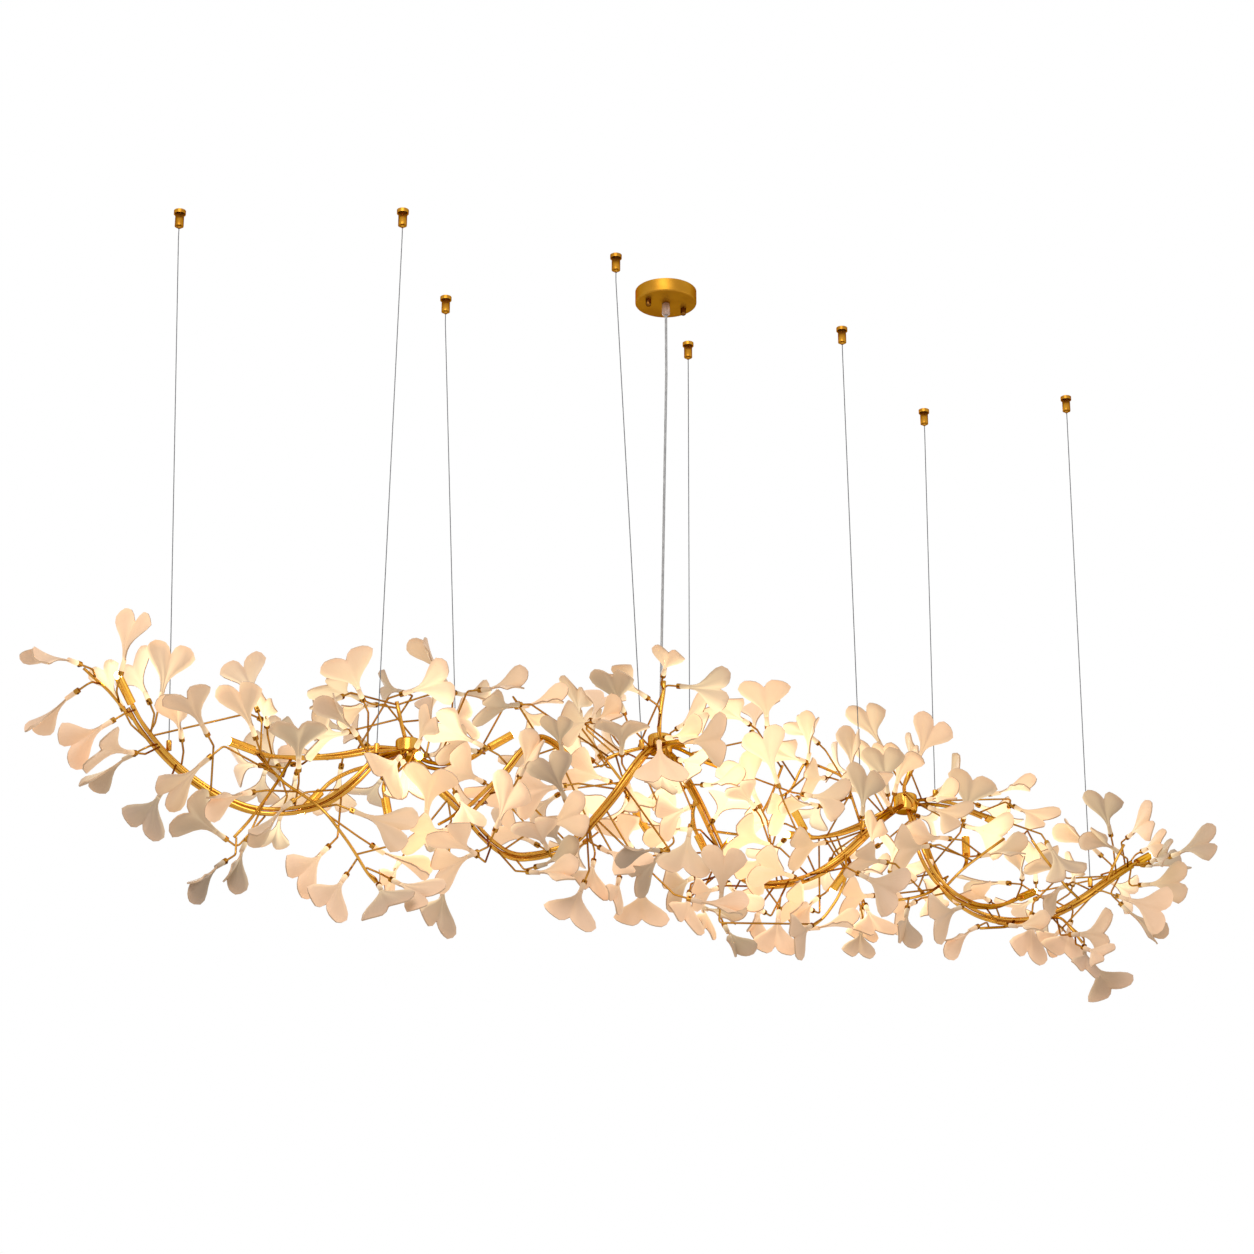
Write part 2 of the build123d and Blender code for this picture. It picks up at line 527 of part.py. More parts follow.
def cap_nut(side):
    """A domed nut that holds the canopy up on one stud."""
    body = rod(nut_diameter, -canopy_height - nut_height, -canopy_height)
    body = fillet(body.edges().group_by(Axis.Z)[0], nut_diameter * nut_dome_share)
    bore_end = -canopy_height - stud_below_canopy - loose_gap
    body = body - rod(stud_diameter + 2 * running_gap, bore_end, -canopy_height)
    return Pos(side * stud_spacing / 2, 0, 0) * body


def cord_grip():
    """The clear screw grip that the power cord comes out of."""
    body = rod(grip_diameter, -canopy_height - grip_length, -canopy_height)
    body = chamfer(body.edges().group_by(Axis.Z)[0], grip_diameter / 5, grip_diameter / 8)
    thread_top = -canopy_height + canopy_wall + grip_nut_height
    body = body + rod(grip_thread, -canopy_height, thread_top)
    return body - rod(cord_diameter + 2 * loose_gap, -canopy_height - grip_length, thread_top)


def grip_nut():
    """The hexagon nut that holds the cord grip from inside the canopy."""
    floor = -canopy_height + canopy_wall
    blank = extrude(RegularPolygon(grip_nut_width / 2, 6, major_radius=False), grip_nut_height)
    return Pos(0, 0, floor) * blank - rod(grip_thread + 2 * seat_gap, floor, floor + grip_nut_height)


def ceiling_cap():
    """A brass cup screwed to the ceiling through its top plate."""
    cup = rod(cap_diameter, -cap_height, 0)
    cup = cup - rod(cap_screw_hole, -cap_plate, 0)
    return cup - rod(spigot_diameter + 2 * seat_gap, -cap_height, -cap_plate)


def gripper_barrel():
    """The barrel screwed into the cap. It holds the plunger, the spring and the balls."""
    low = -cap_height - barrel_length
    top = -cap_plate - loose_gap
    barrel = rod(barrel_diameter, low, -cap_height) + rod(spigot_diameter, -cap_height, top)
    barrel = barrel - rod(barrel_bore, low + nose_flange, top - nose_flange)
    return barrel - rod(nose_diameter + 2 * running_gap, low, low + nose_flange)


def gripper_nose():
    """The plunger that lets the cable go when it is pushed up."""
    low = -cap_height - barrel_length
    seat = low + nose_flange
    flange = rod(barrel_bore - 2 * loose_gap, seat, seat + 2 * nose_flange)
    nose = rod(nose_diameter, low - nose_out, seat) + flange
    return nose - rod(nose_hole, low - nose_out, seat + 2 * nose_flange)


def gripper_balls():
    """Three steel balls that wedge the cable above the plunger's spring."""
    height = -cap_plate - 2 * nose_flange - lock_ball
    ring = cable_diameter / 2 + seat_gap + lock_ball / 2
    return [Rot(0, 0, 120 * i) * Pos(ring, 0, height) * Sphere(lock_ball / 2) for i in range(3)]


def gripper_spring():
    """The plunger's return spring, as the sleeve that its turns fill."""
    low = -cap_height - barrel_length + 3 * nose_flange
    high = -cap_plate - 2 * nose_flange - 2 * lock_ball
    outer = barrel_bore - 2 * seat_gap
    return rod(outer, low, high) - rod(outer - 2 * spring_wall, low, high)


def cable_route(spot, seat):
    """A cable's corner points: down out of the gripper, then straight to its anchor."""
    x, y = spot
    knee = np.array([x, y, -cable_straight_to], float)
    middle, tube_along = seat
    along = unit(middle - knee)
    top = np.array([x, y, -cap_plate - loose_gap - 2 * nose_flange], float)
    lift = seat_lift(stem_diameter, anchor_diameter, along, tube_along)
    anchor_top = middle - along * (lift + anchor_height)
    return [top, knee, anchor_top + along * (anchor_height * cable_share)]


def cable_path(spot, seat):
    """The cable's path, with an arc at its knee that stays below the plunger."""
    points = [Vector(*point) for point in cable_route(spot, seat)]
    into = points[1] - points[0]
    out = points[2] - points[1]
    knee_room = cable_straight_to - cap_height - barrel_length - nose_out
    radius = knee_share * knee_room / math.tan(math.radians(into.get_angle(out) / 2))
    return FilletPolyline(*points, radius=min(radius, cable_bend)).wire()


def cable_anchor(spot, seat):
    """A brass thimble brazed on a stem, with a bore for the cable's end."""
    route = cable_route(spot, seat)
    along = unit(route[2] - route[1])
    top = Vector(*(route[2] - along * (anchor_height * cable_share)))
    thimble = rod(anchor_diameter, 0, anchor_height)
    thimble = fillet(thimble.edges().group_by(Axis.Z)[0], anchor_diameter / 5)
    thimble = thimble - rod(anchor_bore, 0, anchor_height * anchor_bore_share)
    return Plane(origin=top, z_dir=Vector(*along)).location * thimble


# Stems


def hub_solid(name):
    """A turned brass drum that the stems are brazed into."""
    drum = Cylinder(hub_diameter / 2, hub_height)
    drum = fillet(drum.edges().filter_by(GeomType.CIRCLE), hub_edge)
    if name == "hub_middle":
        top, knee, end = cord_route()
        bore = rod(cord_diameter + 2 * loose_gap, 0, hub_height)
        entry = Vector(*(end - place(*hubs[name])))
        drum = drum - Plane(origin=entry, z_dir=Vector(*(knee - end))).location * bore
    return Pos(*place(*hubs[name])) * drum


def cord_route():
    """The power cord: down from the connector block, then straight to the middle hub."""
    hub = place(*hubs["hub_middle"])
    top = np.array([0, 0, -bracket_thickness - block_height], float)
    knee = np.array([0, 0, -cord_straight_to], float)
    return [top, knee, hub + np.array([0, 0, hub_height / 3])]


def cord_path():
    """The cord's path, with one wide gentle arc at its knee."""
    return smooth_path(cord_route())


def hub_start(name, toward):
    """The point just inside a hub's wall on the way to a point outside it."""
    centre = place(*hubs[name])
    reach = unit(toward - centre)
    side = math.hypot(reach[0], reach[1])
    to_wall = hub_diameter / 2 / max(side, 1e-6)
    to_end = hub_height / 2 / max(abs(reach[2]), 1e-6)
    return centre + reach * (min(to_wall, to_end) - hub_bite)


def bundle_routes(points, count):
    """Parallel routes that wind slowly round a middle route."""
    radius = {1: 0.0, 2: tube_spacing / 2, 3: tube_spacing / math.sqrt(3)}[count]
    routes = [[] for _ in range(count)]
    for i, point in enumerate(points):
        along = unit(points[min(i + 1, len(points) - 1)] - points[max(i - 1, 0)])
        side = unit(np.cross(along, [0.0, 1.0, 0.0]))
        across = np.cross(along, side)
        for k in range(count):
            angle = math.radians(360 * k / count + bundle_twist * i / (len(points) - 1))
            routes[k].append(point + radius * (math.cos(angle) * side + math.sin(angle) * across))
    return routes


class Frame:
    """The brazed stems, with the points and sizes that twigs and leaves have to clear."""

    def __init__(self):
        self.solids = {}
        self.leads = []
        self.lamps = []
        self.feet = []
        self.points = np.zeros((0, 3))
        self.radii = np.zeros(0)
        self.owner = np.zeros(0, int)
        self.tubes = 0

    def add_points(self, points, radius, owner=-1):
        """Remember points that later pieces stay clear of."""
        self.points = np.vstack([self.points, points])
        self.radii = np.append(self.radii, np.full(len(points), radius))
        self.owner = np.append(self.owner, np.full(len(points), owner))

    def start_on(self, name, point):
        """The middle, the run and the size of a node's tube where it is nearest to a point."""
        feet = [foot for foot in self.feet if foot[0] == name]
        gaps = [np.linalg.norm(foot[2] - point) for foot in feet]
        return feet[int(np.argmin(gaps))][2:]

    def upper_tube(self, point):
        """The middle and the run of the tube on top of a bundle, near a point."""
        above = point + np.array([0, 0, tube_spacing])
        centres = np.array([foot[2] for foot in self.feet])
        best = self.feet[np.argmin(np.linalg.norm(centres - above, axis=1))]
        return best[2], best[3]

    def add_tube(self, node, route, diameter, bore):
        """Sweep one tube and remember where it runs."""
        path = smooth_path(route)
        self.solids.setdefault(node, []).append(tube_along(path, diameter, bore))
        if bore:
            self.leads.append(tube_along(path, lead_diameter))
        line = points_along(path, stem_step)
        self.add_points(line, diameter / 2 + stem_room, self.tubes)
        for i in range(1, len(line) - 1):
            along = unit(line[i + 1] - line[i - 1])
            self.feet.append((node, self.tubes, line[i], along, diameter))
        self.tubes += 1
        return path

    def add_stem(self, node, count, start, readings, end):
        """One stem or bundle, from a hub or another stem, to a hub, a lamp or a bare tip."""
        points = [place(*reading) for reading in readings]
        slim = node.startswith("branches")
        diameter = branch_diameter if slim else stem_diameter
        bore = 0.0 if slim else stem_bore
        from_hub = start in hubs
        if from_hub:
            points.insert(0, hub_start(start, points[0]))
        else:
            points[0] = self.start_on(start, points[0])[0]
        if end in hubs:
            points.append(hub_start(end, points[-1]))
        for k, route in enumerate(bundle_routes(points, count)):
            if from_hub:
                route[0] = hub_start(start, route[1])
            else:
                centre, along, parent = self.start_on(start, route[0])
                away = unit(route[1] - centre)
                across = unit(away - along * np.dot(away, along))
                lift = (parent / 2 - braze_depth) / max(np.dot(away, across), steepest_stem)
                route[0] = centre + away * lift
            if end == "lamp" and k:
                route[-1] = route[-1] - unit(route[-1] - route[-2]) * short_end
            if end in hubs:
                route[-1] = hub_start(end, route[-2])
            path = self.add_tube(node, route, diameter, bore)
            if end == "lamp" and k == 0:
                self.add_lamp(np.array(tuple(path @ 1)), np.array(tuple(path % 1)))

    def add_lamp(self, base, along):
        """A lamp at a stem's end, and the room that it takes."""
        self.lamps.append((base, along))
        reach = socket_length - 2 * socket_floor
        steps = np.arange(0, reach + globe_length + lamp_front_room, twig_step)
        self.add_points(base + np.outer(steps, along), socket_diameter / 2 + lamp_room)

    def clear(self, points, radii, skip_tube=-1, skip_near=None, skip_reach=0.0):
        """The smallest gap between new points and all that is already there."""
        low = points.min(axis=0) - clear_reach
        high = points.max(axis=0) + clear_reach
        near = np.all((self.points > low) & (self.points < high), axis=1)
        if skip_tube >= 0:
            gap = np.linalg.norm(self.points - skip_near, axis=1)
            near &= ~((self.owner == skip_tube) & (gap < skip_reach))
        if not near.any():
            return clear_reach
        gaps = np.linalg.norm(points[:, None, :] - self.points[near][None, :, :], axis=2)
        return float((gaps - radii[:, None] - self.radii[near][None, :]).min())


# Lamps


def lamp_pieces(base, along):
    """The five pieces of one lamp, placed on a stem's end."""
    at = Plane(origin=Vector(*base), z_dir=Vector(*along)).location
    back = -2 * socket_floor
    tube = rod(socket_diameter, back, back + socket_length)
    tube = tube - rod(socket_diameter - 2 * socket_wall, back + socket_floor, back + socket_length)
    tube = tube - rod(stem_diameter + 2 * running_gap, back, back + socket_floor)
    holder_low = back + holder_back
    holder_high = holder_low + holder_length
    holder = rod(socket_diameter - 2 * socket_wall - 2 * seat_gap, holder_low, holder_high)
    pins = []
    for side in (-1, 1):
        spot = Pos(side * lamp_pin_spacing / 2, 0, 0)
        hole = rod(lamp_pin_diameter + 2 * seat_gap, holder_high - lamp_pin_length, holder_high)
        holder = holder - spot * hole
        pins.append(spot * rod(lamp_pin_diameter, holder_high - lamp_pin_length + loose_gap, holder_high))
    top = holder_high + globe_length
    hollow = globe_diameter - 2 * globe_wall
    globe = rod(globe_diameter, holder_high, top)
    globe = fillet(globe.edges().group_by(Axis.Z)[-1], globe_diameter * globe_nose_share)
    inside = rod(hollow, holder_high, top - globe_wall)
    globe = globe - fillet(inside.edges().group_by(Axis.Z)[-1], hollow * globe_nose_share)
    stick = rod(stick_diameter, holder_high, holder_high + stick_length)
    foot = rod(hollow - 2 * seat_gap, holder_high, holder_high + 2 * globe_wall)
    parts = {"socket_tubes": tube, "lampholders": holder, "bulb_globes": globe, "bulb_sticks": stick + foot}
    placed = {name: at * piece for name, piece in parts.items()}
    placed["bulb_pins"] = [at * pin for pin in pins]
    return placed


# Leaves


def leaf_outline(kind):
    """Half of a fan leaf's edge, from the neck round one lobe to the notch."""
    length, half_width, notch = leaf_kinds[kind][:3]
    half_width = half_width * leaf_spread
    neck = neck_end / 2 - neck_step
    fan = length - neck_length
    lobe = [(neck_length + along * fan, max(across * half_width, neck)) for along, across in lobe_edge]
    return [(neck_length, neck)] + lobe + [(length - notch, 0.0)]


def leaf_solid(kind):
    """A porcelain fan leaf: two lobes folded along the middle, and a neck with a blind bore."""
    outline = [(neck_length, 0.0)] + leaf_outline(kind)
    plate = extrude(make_face(Polyline(*outline, close=True)), leaf_wall)
    lobe = Pos(0, 0, -leaf_wall / 2) * Rot(leaf_kinds[kind][3], 0, 0) * plate
    neck = Pos(neck_length / 2, 0, 0) * Rot(0, 90, 0) * Cone(neck_diameter / 2, neck_end / 2, neck_length)
    bore = Pos((pin_depth + loose_gap) / 2, 0, 0) * Rot(0, 90, 0)
    neck = neck - bore * Cylinder(twig_diameter / 2 + seat_gap, pin_depth + loose_gap)
    return lobe + mirror(lobe, about=Plane.XZ) + neck


def leaf_points(kind):
    """Points spread over a blade and along its neck, in the leaf's own frame."""
    fold = math.radians(leaf_kinds[kind][3])
    half = leaf_outline(kind)[:-2]
    edge_x = [x for x, y in half]
    edge_y = [y for x, y in half]
    points = []
    for x in np.arange(-collar_length, leaf_kinds[kind][0] + 1, leaf_step):
        reach = float(np.interp(x, edge_x, edge_y))
        for y in np.linspace(-reach, reach, 2 * int(reach / leaf_step) + 1):
            height = abs(y) * math.sin(fold) if x > neck_length else 0.0
            points.append((x, y * math.cos(fold), height))
    return np.array(points)


def leaf_axes(reading, depth, extra_turn):
    """Where a leaf's neck is, the way its blade runs, and the way its face looks."""
    kind, neck_x, neck_z, tip_x, tip_z, _, turn = reading
    neck = place(neck_x, neck_z, depth)
    across = place(tip_x, tip_z, depth) - neck
    sight = unit(neck - np.array(eye_point))
    length = leaf_kinds[kind][0] - leaf_kinds[kind][2] / 2
    inside = np.dot(across, sight) ** 2 - np.dot(across, across) + length ** 2
    lean = math.sqrt(max(inside, 0.0))
    away = 1 if depth > leaning_back_from else -1
    along = unit(across + sight * (-np.dot(across, sight) + away * lean))
    face = unit(-sight + along * np.dot(sight, along))
    side = np.cross(face, along)
    angle = math.radians(turn + extra_turn)
    return neck, along, unit(math.cos(angle) * face + math.sin(angle) * side)


def twig_route(foot, neck, along):
    """A twig's three corners: its foot on a stem, its bend, and its pin in the leaf."""
    node, tube, centre, stem_along, diameter = foot
    bend = neck - along * (twig_end_run + collar_length)
    away = unit(bend - centre)
    lift = seat_lift(diameter, twig_diameter, away, stem_along)
    return [centre + away * lift, bend, neck + along * pin_depth]


def twig_turn(route):
    """The angle at a twig's bend, in degrees."""
    return Vector(*(route[1] - route[0])).get_angle(Vector(*(route[2] - route[1])))


def run_points(start, end, step):
    """Evenly spaced points on one straight run."""
    count = max(2, int(np.linalg.norm(end - start) / step) + 1)
    return start + np.outer(np.linspace(0, 1, count), end - start)


def find_foot(frame, neck, along, blade):
    """The best foot for a twig: short, not too bent, and clear of everything."""
    centres = np.array([foot[2] for foot in frame.feet])
    bend = neck - along * (twig_end_run + collar_length)
    reach = bend - centres
    length = np.linalg.norm(reach, axis=1)
    turn = np.degrees(np.arccos(np.clip(reach @ along / length, -1, 1)))
    cost = length + turn_cost * np.maximum(turn - easy_turn, 0)
    cost = cost + never * ((turn > sharpest_turn) | (length < shortest_twig))
    tried = 0
    for index in np.argsort(cost):
        if cost[index] > never or tried == feet_tried:
            break
        if tried and np.linalg.norm(centres[index] - last) < foot_step:
            continue
        last = centres[index]
        tried += 1
        foot = frame.feet[index]
        if abs(np.dot(reach[index], foot[3])) > leaning_foot * length[index]:
            continue
        route = twig_route(foot, neck, along)
        line = run_points(route[0], route[1], twig_step)
        radii = np.full(len(line), twig_diameter / 2 + twig_room)
        gap = frame.clear(line, radii, foot[1], foot[2], foot_reach)
        own = np.linalg.norm(line[:, None, :] - blade[None, :, :], axis=2).min() - own_blade_room
        if min(gap, own) <= 0:
            continue
        line = points_along(smooth_path(route, twig_bend), twig_step)
        line = line[np.linalg.norm(line - neck, axis=1) > collar_length + pin_depth]
        radii = np.full(len(line), twig_diameter / 2 + twig_room)
        if frame.clear(line, radii, foot[1], foot[2], foot_reach) > 0:
            return route
    return None


def grow_leaf(frame, reading):
    """Find a depth and a foot at which a leaf and its twig are clear of everything."""
    kind, wanted = reading[0], reading[5]
    shape = leaf_points(kind)
    radii = np.where(shape[:, 0] > neck_length, blade_room, neck_room)
    for extra_turn in turn_tries:
        for shift in depth_tries:
            neck, along, face = leaf_axes(reading, wanted + shift, extra_turn)
            side = np.cross(face, along)
            blade = neck + shape @ np.array([along, side, face])
            if frame.clear(blade, radii) <= 0:
                continue
            found = find_foot(frame, neck, along, blade[shape[:, 0] > neck_length])
            if found is None:
                continue
            frame.add_points(blade, 0.0)
            frame.radii[-len(blade):] = radii
            route = found
            line = points_along(smooth_path(route, twig_bend), twig_step)
            frame.add_points(line, twig_diameter / 2 + twig_room)
            return neck, along, face, route
    return None


def leaf_collar():
    """A brass collar between a twig and a leaf's neck, with a flat for its screw."""
    across = Pos(-collar_length / 2, 0, 0) * Rot(0, 90, 0)
    collar = across * Cylinder(collar_diameter / 2, collar_length)
    collar = collar - across * Cylinder(twig_diameter / 2 + seat_gap, 2 * collar_length)
    flat = collar_diameter / 2 - collar_flat
    return collar - Pos(-collar_length / 2, 0, flat + collar_diameter / 2) * Box(
        2 * collar_length, collar_diameter, collar_diameter)


def collar_screw():
    """The screw head on a collar's flat that holds the leaf on its twig."""
    low = collar_diameter / 2 - collar_flat
    return Pos(-collar_length / 2, 0, 0) * rod(screw_diameter, low, low + screw_head)


# Assembly

parts = {}


def keep(node, solids):
    """Add one or more solids to a node."""
    found = solids if isinstance(solids, list) else [solids]
    for item in found:
        parts.setdefault(node, []).extend(item.solids())


keep("canopy_bracket", canopy_bracket())
keep("canopy_studs", canopy_studs())
keep("terminal_block", terminal_block())
keep("terminal_screws", terminal_screws())
keep("canopy_cover", canopy_cover())
keep("cap_nut_left", cap_nut(-1))
keep("cap_nut_right", cap_nut(1))
keep("cord_grip", cord_grip())
keep("grip_nut", grip_nut())

cord = cord_path()
keep("power_cord", tube_along(cord, cord_diameter))
print("power cord length", round(cord.length, 1))

frame = Frame()
for name in hubs:
    keep(name, hub_solid(name))
    centre = place(*hubs[name])
    heights = np.linspace(-hub_height / 2, hub_height / 2, 5)
    frame.add_points(centre + np.outer(heights, [0, 0, 1]), hub_diameter / 2 + hub_room)
frame.add_points(points_along(cord, stem_step), cord_diameter / 2 + cable_room)

one_of_each = {
    "ceiling_caps": ceiling_cap(),
    "gripper_barrels": gripper_barrel(),
    "gripper_springs": gripper_spring(),
}
balls = gripper_balls()
nose = gripper_nose()
for stem in stem_routes:
    frame.add_stem(*stem)
for index, (spot, end) in enumerate(hangings):
    at = Pos(*spot, 0)
    seat = frame.upper_tube(place(*end))
    for node, piece in one_of_each.items():
        keep(node, at * piece)
    keep("gripper_balls", [at * ball for ball in balls])
    keep(f"gripper_nose_{index + 1}", at * nose)
    path = cable_path(spot, seat)
    keep(f"suspension_cable_{index + 1}", tube_along(path, cable_diameter))
    keep("cable_anchors", cable_anchor(spot, seat))
    print("cable", index + 1, "length", round(path.length, 1))
    frame.add_points(points_along(path, stem_step), cable_diameter / 2 + cable_room)
    route = cable_route(spot, seat)
    heights = np.arange(-cable_share, 1 - cable_share, twig_step / anchor_height) * anchor_height
    thimble = route[2] + np.outer(heights, unit(route[2] - route[1]))
    frame.add_points(thimble, anchor_diameter / 2 + anchor_room)

for node, solids in frame.solids.items():
    keep(node, solids)
keep("lamp_leads", frame.leads)
for base, along in frame.lamps:
    for node, piece in lamp_pieces(base, along).items():
        keep(node, piece)

blades = {kind: leaf_solid(kind) for kind in leaf_kinds}
collar = leaf_collar()
screw = collar_screw()
missing = []
for number, reading in enumerate(leaf_places):
    grown = grow_leaf(frame, reading)
    if grown is None:
        missing.append(number)
        continue
    neck, along, face, route = grown
    at = turned_to(neck, along, face)
    keep(f"leaves_{reading[0]}", at * blades[reading[0]])
    keep("leaf_collars", at * collar)
    keep("collar_screws", at * screw)
    section = next(name for name, limit in section_ends if neck[0] < limit)
    if twig_turn(route) < straight_twig:
        route = [route[0], route[2]]
    keep(f"twigs_{section}", tube_along(smooth_path(route, twig_bend), twig_diameter))
print("leaves placed", len(leaf_places) - len(missing), "not placed", missing)
print("lamps", len(frame.lamps), "tubes", frame.tubes)

os.makedirs("parts", exist_ok=True)
for node, solids in parts.items():
    shape = solids[0] if len(solids) == 1 else Compound(solids)
    export_step(shape, f"parts/{node}.step")
print("nodes", len(parts), "solids", sum(len(solids) for solids in parts.values()))
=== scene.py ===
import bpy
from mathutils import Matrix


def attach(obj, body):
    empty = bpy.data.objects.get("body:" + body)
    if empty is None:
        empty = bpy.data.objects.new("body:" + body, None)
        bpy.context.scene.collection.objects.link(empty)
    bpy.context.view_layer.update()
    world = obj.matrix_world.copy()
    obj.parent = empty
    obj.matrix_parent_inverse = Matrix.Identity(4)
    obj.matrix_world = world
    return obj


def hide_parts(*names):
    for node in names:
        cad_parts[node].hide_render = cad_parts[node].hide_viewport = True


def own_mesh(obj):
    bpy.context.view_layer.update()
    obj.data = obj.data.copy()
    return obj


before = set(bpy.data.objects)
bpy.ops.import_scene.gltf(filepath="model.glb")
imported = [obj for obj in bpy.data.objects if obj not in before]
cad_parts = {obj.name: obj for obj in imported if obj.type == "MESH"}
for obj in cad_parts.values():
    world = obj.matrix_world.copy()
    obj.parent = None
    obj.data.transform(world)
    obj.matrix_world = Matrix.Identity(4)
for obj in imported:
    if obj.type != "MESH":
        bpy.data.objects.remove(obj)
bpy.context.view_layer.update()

import math

import bpy
import numpy as np
from mathutils import Matrix, Vector

# The room: a white background, a pale floor far below the light, and soft lamps in front of
# it and behind. The camera stands low on the left and looks up at the light.
bpy.ops.object.select_all(action="DESELECT")
bpy.ops.object.camera_add(location=(-2.247, -3.765, -2.260),
                          rotation=(math.radians(110.9), 0, math.radians(-30)))
camera = bpy.context.object
camera.data.sensor_width = 36
camera.data.lens = 86.1
camera.data.clip_end = 200
bpy.context.scene.camera = camera
bpy.context.scene.view_settings.view_transform = "Standard"


def seen_rays(tree):
    """One for what is seen, also by way of metal or glass, and nought for all other light."""
    rays = tree.nodes.new("ShaderNodeLightPath")
    seen = rays.outputs["Is Camera Ray"]
    for kind in ("Is Transmission Ray", "Is Glossy Ray"):
        either = tree.nodes.new("ShaderNodeMath")
        either.operation = "MAXIMUM"
        tree.links.new(seen, either.inputs[0])
        tree.links.new(rays.outputs[kind], either.inputs[1])
        seen = either.outputs[0]
    return seen


room = bpy.data.worlds.new("room")
bpy.context.scene.world = room
room.use_nodes = True
nodes, links = room.node_tree.nodes, room.node_tree.links
nodes.clear()
air = nodes.new("ShaderNodeBackground")
air.inputs["Color"].default_value = (1.0, 0.985, 0.96, 1)
air.inputs["Strength"].default_value = 0.45
white = nodes.new("ShaderNodeBackground")
white.inputs["Color"].default_value = (1, 1, 1, 1)
white.inputs["Strength"].default_value = 1.0
mix = nodes.new("ShaderNodeMixShader")
links.new(seen_rays(room.node_tree), mix.inputs[0])
links.new(air.outputs[0], mix.inputs[1])
links.new(white.outputs[0], mix.inputs[2])
out = nodes.new("ShaderNodeOutputWorld")
links.new(mix.outputs[0], out.inputs["Surface"])

floor_width = 120
floor_level = -2.8
floor_paleness = 0.3
bpy.ops.mesh.primitive_plane_add(size=floor_width, location=(0, 0, floor_level))
floor = bpy.context.object
floor.name = "pale_floor"
floor_paint = bpy.data.materials.new("floor_paint")
floor_paint.use_nodes = True
nodes, links = floor_paint.node_tree.nodes, floor_paint.node_tree.links
matt = nodes["Principled BSDF"]
matt.inputs["Base Color"].default_value = (0.92, 0.92, 0.91, 1)
matt.inputs["Roughness"].default_value = 0.8
matt.inputs["Emission Color"].default_value = (1, 1, 1, 1)
paleness = nodes.new("ShaderNodeMath")
paleness.operation = "MULTIPLY"
paleness.inputs[1].default_value = floor_paleness
links.new(seen_rays(floor_paint.node_tree), paleness.inputs[0])
links.new(paleness.outputs[0], matt.inputs["Emission Strength"])
floor.data.materials.append(floor_paint)

light_middle = Vector((0, 0.06, -0.85))
warm_white = (1.0, 0.97, 0.93)
room_lamps = [
    ("key_lamp", (-2.2, -2.6, 0.8), 2.2, 70),
    ("fill_lamp", (2.4, -2.4, -1.4), 2.4, 18),
    ("back_lamp", (0.4, 2.6, 0.3), 2.0, 24),
]
for name, place, width, watts in room_lamps:
    bpy.ops.object.light_add(type="AREA", location=place)
    lamp = bpy.context.object
    lamp.name = name
    lamp.data.size = width
    lamp.data.energy = watts
    lamp.data.color = warm_white
    lamp.rotation_euler = (light_middle - Vector(place)).to_track_quat("-Z", "Y").to_euler()

# Canopy: a spun brass cup over a zinc bracket, held up by two cap nuts on the bracket's
# studs, with the connector block inside and a clear grip for the cord below. Handling
# leaves faint cloudy marks, which the other finishes share.
handling = bpy.data.node_groups.new("handling_marks", "ShaderNodeTree")
handling.interface.new_socket("Size", in_out="INPUT", socket_type="NodeSocketFloat")
handling.interface.new_socket("Marks", in_out="OUTPUT", socket_type="NodeSocketFloat")
group_in = handling.nodes.new("NodeGroupInput")
group_out = handling.nodes.new("NodeGroupOutput")
where = handling.nodes.new("ShaderNodeTexCoord")
cloud = handling.nodes.new("ShaderNodeTexNoise")
cloud.inputs["Detail"].default_value = 3
cloud.inputs["Roughness"].default_value = 0.5
handling.links.new(where.outputs["Object"], cloud.inputs["Vector"])
handling.links.new(group_in.outputs["Size"], cloud.inputs["Scale"])
handling.links.new(cloud.outputs["Fac"], group_out.inputs["Marks"])
colour_from, colour_to = 0.35, 0.62
gloss_from, gloss_to = 0.3, 0.7
edge_tint = 0.4
seam_gap = 0.00002
round_below = math.radians(38)


def worn_finish(name, light, dark, metal, smooth, rough, size):
    """A surface whose colour and gloss drift with the marks of handling."""
    material = bpy.data.materials.new(name)
    material.use_nodes = True
    tree = material.node_tree
    shader = tree.nodes["Principled BSDF"]
    shader.inputs["Metallic"].default_value = metal
    if metal:
        shader.inputs["Specular Tint"].default_value = (*(edge_tint * part for part in dark), 1)
    marks = tree.nodes.new("ShaderNodeGroup")
    marks.node_tree = handling
    marks.inputs["Size"].default_value = size
    colour = tree.nodes.new("ShaderNodeValToRGB")
    colour.color_ramp.elements[0].position = colour_from
    colour.color_ramp.elements[0].color = (*dark, 1)
    colour.color_ramp.elements[1].position = colour_to
    colour.color_ramp.elements[1].color = (*light, 1)
    gloss = tree.nodes.new("ShaderNodeMapRange")
    gloss.inputs["From Min"].default_value = gloss_from
    gloss.inputs["From Max"].default_value = gloss_to
    gloss.inputs["To Min"].default_value = rough
    gloss.inputs["To Max"].default_value = smooth
    tree.links.new(marks.outputs["Marks"], colour.inputs["Fac"])
    tree.links.new(marks.outputs["Marks"], gloss.inputs["Value"])
    tree.links.new(colour.outputs["Color"], shader.inputs["Base Color"])
    tree.links.new(gloss.outputs["Result"], shader.inputs["Roughness"])
    return material


